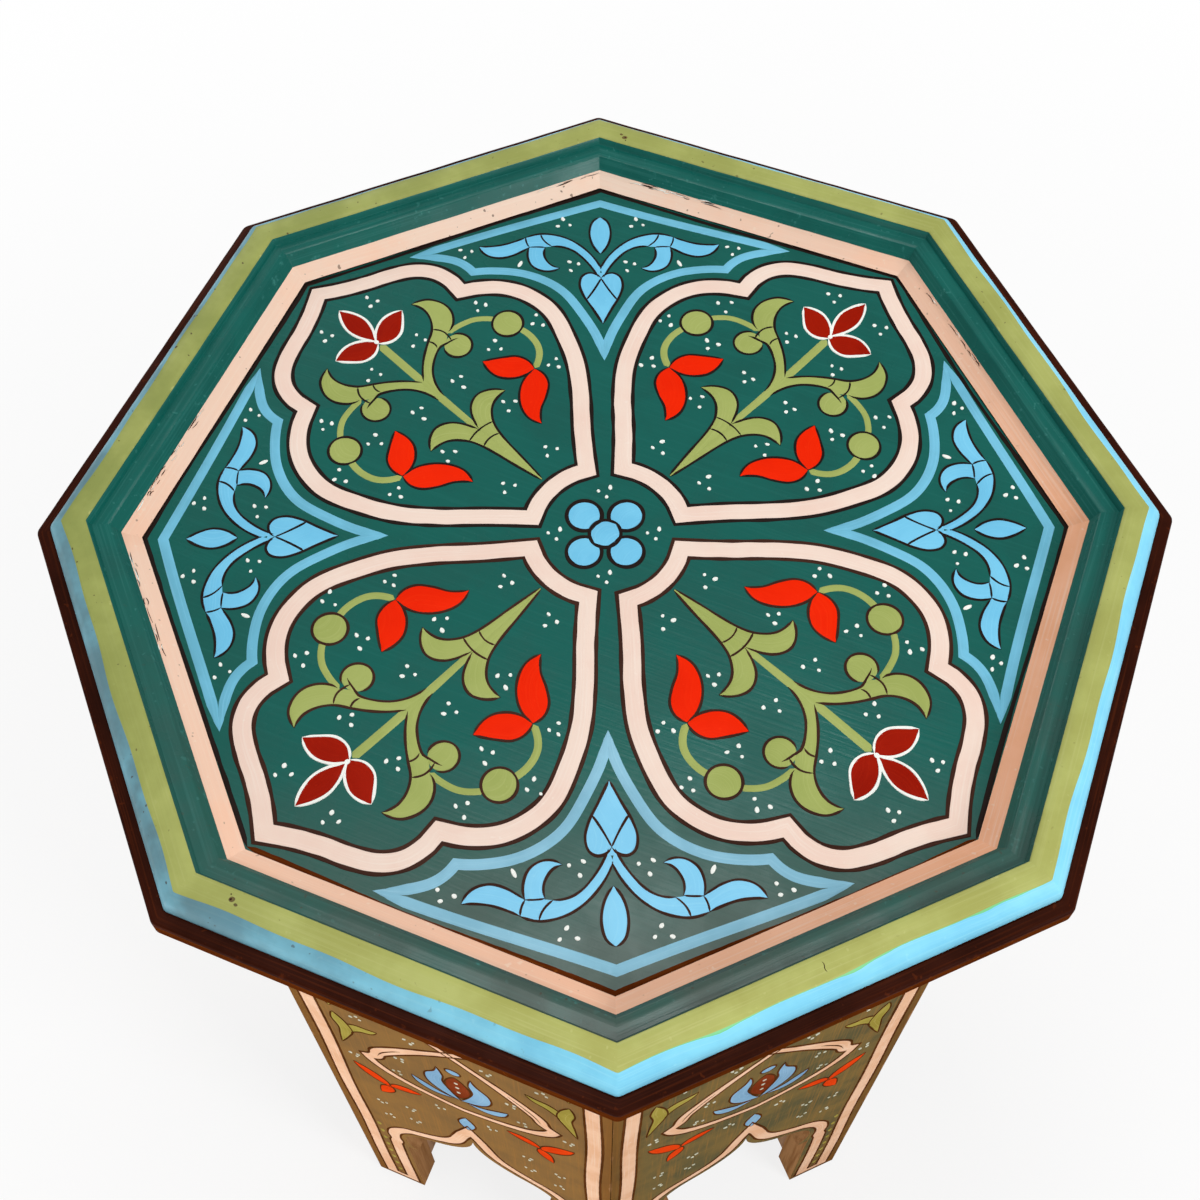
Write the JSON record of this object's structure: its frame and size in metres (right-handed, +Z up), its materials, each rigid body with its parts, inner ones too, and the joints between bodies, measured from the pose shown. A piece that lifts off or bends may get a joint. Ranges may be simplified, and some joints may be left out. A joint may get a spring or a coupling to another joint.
{
  "type": "painted side table",
  "caption": "Octagonal wooden side table with a recessed painted top in a stepped moulded rim, on straight mitred side boards with Moorish arch feet.",
  "frame": {"origin": "centre of the foot print on the floor", "axes": "+Z up, one flat of the octagon faces each of +X, -X, +Y and -Y"},
  "size_m": [0.398, 0.398, 0.5],
  "materials": {
    "panel_paint": "dark green satin paint with painted ornament",
    "rim_paint": "olive, light blue, brown, green and cream paint in bands",
    "body_paint": "brownish green satin paint with painted ornament",
    "bare_wood": "unpainted softwood"
  },
  "bodies": {
    "root": {"top_panel": "panel_paint", "rim_moulding_front": "rim_paint", "rim_moulding_front_right": "rim_paint", "rim_moulding_right": "rim_paint", "rim_moulding_back_right": "rim_paint", "rim_moulding_back": "rim_paint", "rim_moulding_back_left": "rim_paint", "rim_moulding_left": "rim_paint", "rim_moulding_front_left": "rim_paint", "side_board_front": "body_paint", "side_board_front_right": "body_paint", "side_board_right": "body_paint", "side_board_back_right": "body_paint", "side_board_back": "body_paint", "side_board_back_left": "body_paint", "side_board_left": "body_paint", "side_board_front_left": "body_paint", "corner_post_1": "bare_wood", "corner_post_2": "bare_wood", "corner_post_3": "bare_wood", "corner_post_4": "bare_wood", "corner_post_5": "bare_wood", "corner_post_6": "bare_wood", "corner_post_7": "bare_wood", "corner_post_8": "bare_wood"}
  },
  "joints": []
}
